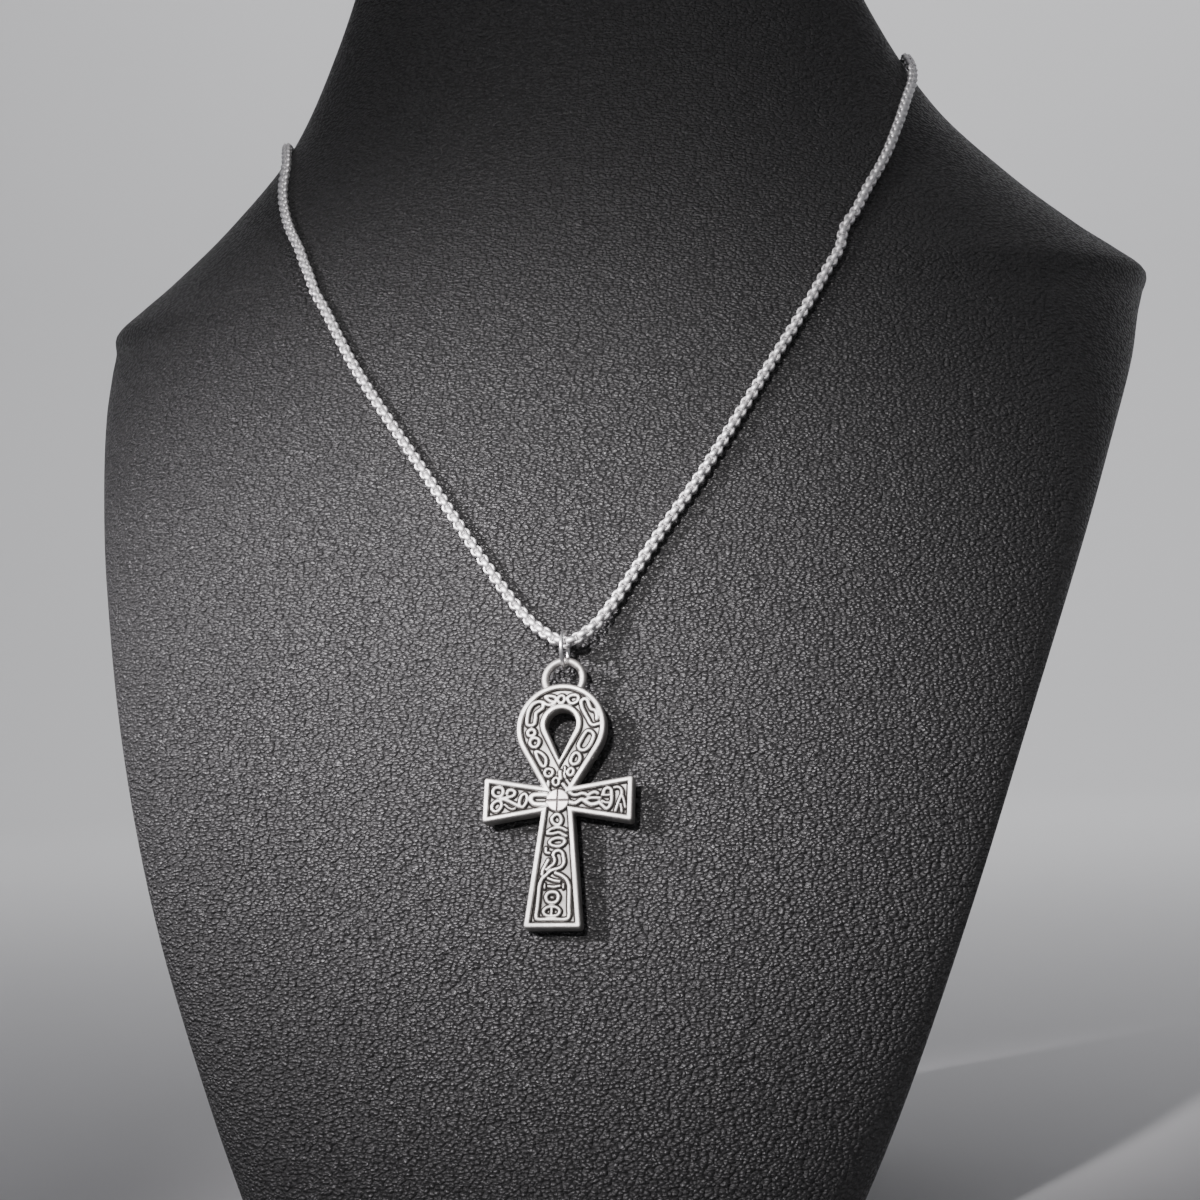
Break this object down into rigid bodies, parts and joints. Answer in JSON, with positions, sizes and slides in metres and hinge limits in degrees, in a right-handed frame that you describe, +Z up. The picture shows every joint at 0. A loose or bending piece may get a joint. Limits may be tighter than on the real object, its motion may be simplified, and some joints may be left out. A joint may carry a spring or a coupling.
{
  "type": "ankh pendant necklace on a neck bust",
  "caption": "Cast ankh pendant with raised knotwork inside smooth rims, hung by a jump ring from a rounded box chain, shown on a plain dark neck bust.",
  "frame": {"origin": "middle of the base of the bust, at its lowest face", "axes": "+X towards the wearer's left, +Y towards the back of the bust, +Z up"},
  "size_m": [0.2108, 0.164, 0.25],
  "materials": {
    "leatherette": "satin",
    "chain_silver": "polished",
    "ring_silver": "polished",
    "cast_silver": "antiqued satin",
    "clasp_silver": "polished"
  },
  "bodies": {
    "stand": {"bust": "leatherette", "chain": "chain_silver", "jump_ring": "ring_silver", "clasp": "clasp_silver"},
    "pendant": {"ankh": "cast_silver"}
  },
  "joints": [
    {"name": "pendant_swing", "type": "hinge", "parent": "stand", "child": "pendant", "pos_m": [0.0033, -0.05019, 0.09635], "axis": [-1, 0, 0], "range_deg": [0, 80]}
  ]
}
